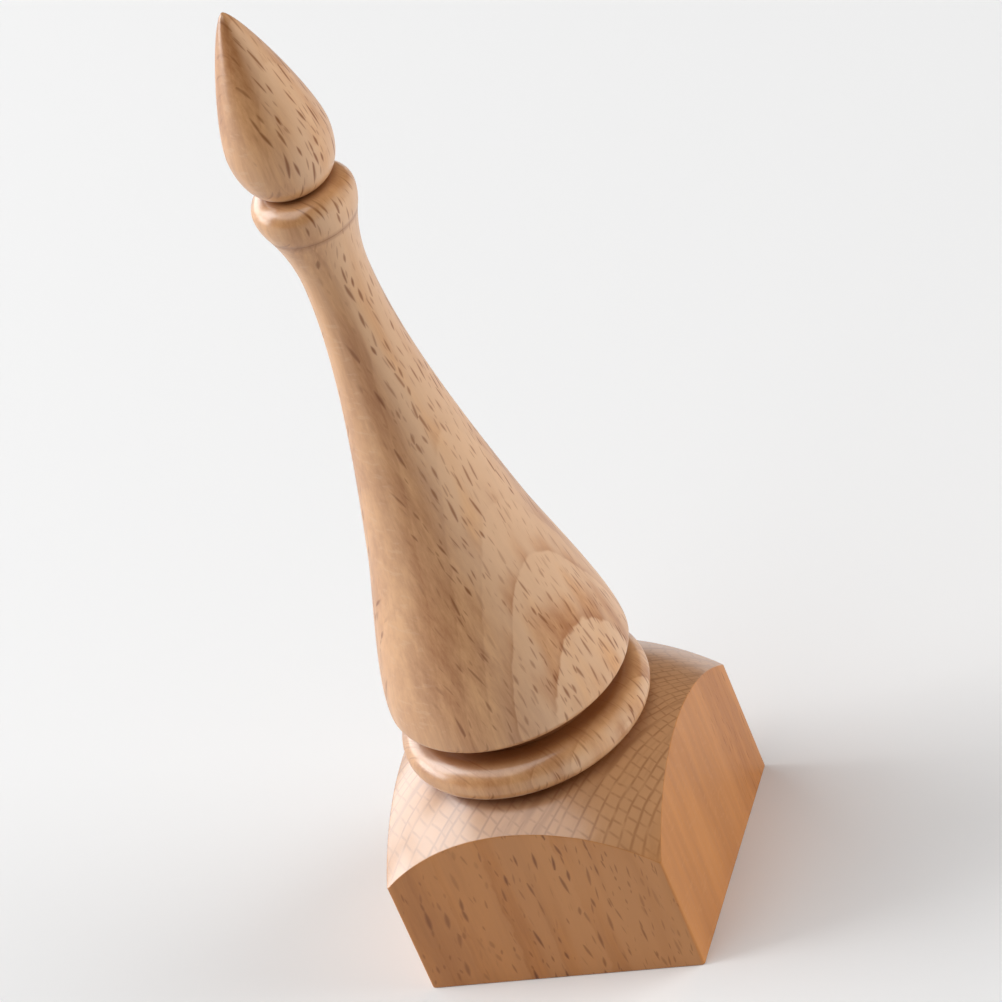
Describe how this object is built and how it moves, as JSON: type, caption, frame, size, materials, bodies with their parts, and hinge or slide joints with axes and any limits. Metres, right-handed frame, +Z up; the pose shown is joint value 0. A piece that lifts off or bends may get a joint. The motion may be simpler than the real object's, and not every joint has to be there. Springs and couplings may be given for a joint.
{
  "type": "turned wooden finial",
  "caption": "Turned beech finial: square plinth with a domed top, bead ring, drop-shaped body tapering to a slim neck, collar bead and pointed flame, with a threaded insert in its base.",
  "frame": {"origin": "centre of the plinth's flat underside", "axes": "+Z up the finial's turning axis to its point; +X and +Y square to two sides of the plinth"},
  "size_m": [0.05, 0.05, 0.184],
  "materials": {
    "turned_beech": "steamed beech, turned and sanded, clear satin lacquer",
    "plinth_beech": "steamed beech, planed sides and turned dome, clear satin lacquer",
    "dowel_beech": "raw beech, fluted",
    "insert_steel": "bright zinc plate"
  },
  "bodies": {
    "root": {"plinth_block": "plinth_beech", "base_ring": "turned_beech", "spindle_body": "turned_beech", "collar_ring": "turned_beech", "flame_tip": "turned_beech", "base_dowel": "dowel_beech", "tip_dowel": "dowel_beech", "threaded_insert": "insert_steel"}
  },
  "joints": []
}
